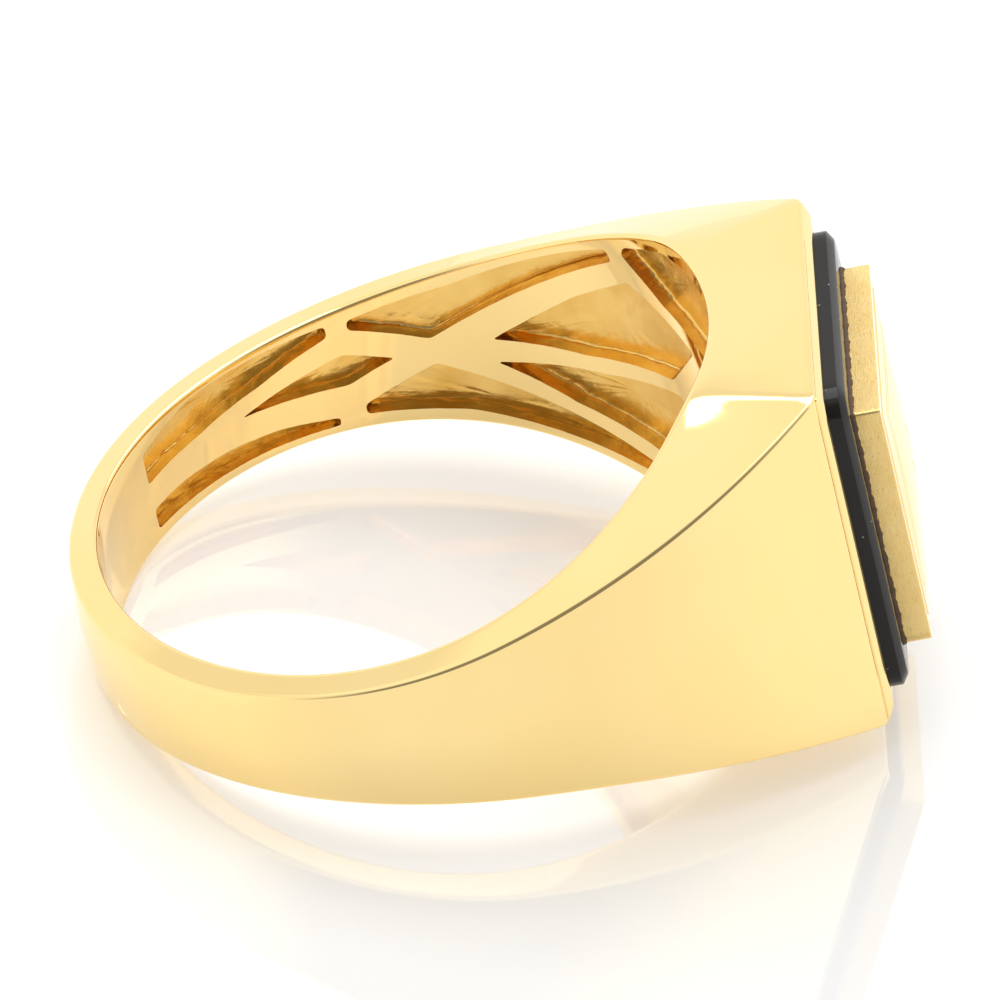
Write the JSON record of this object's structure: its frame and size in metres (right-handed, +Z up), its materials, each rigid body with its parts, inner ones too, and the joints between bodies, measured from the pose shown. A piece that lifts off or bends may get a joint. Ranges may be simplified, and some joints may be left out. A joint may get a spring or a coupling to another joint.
{
  "type": "signet ring",
  "caption": "Gold signet ring lying on its side: tapering band with openwork inside the shoulders, rectangular head, onyx tablet and a raised plaque with a domed field.",
  "frame": {"origin": "on the table surface, under the middle of the ring's box as it lies on its side", "axes": "+Z up from the table, +X towards the signet face, Y across the shoulders; the finger axis leans 12.5 degrees from +Z towards -X"},
  "size_m": [0.0264, 0.0223, 0.0129],
  "materials": {
    "polished_gold": "mirror polished yellow gold",
    "brushed_gold": "satin brushed sides, polished face with a flat margin and a domed field",
    "onyx": "polished black",
    "cement": "dark resin"
  },
  "bodies": {
    "root": {"ring_body": "polished_gold", "onyx_tablet": "onyx", "plaque": "brushed_gold", "plaque_post_upper": "polished_gold", "plaque_post_lower": "polished_gold", "stone_cement": "cement", "plaque_cement": "cement"}
  },
  "joints": []
}
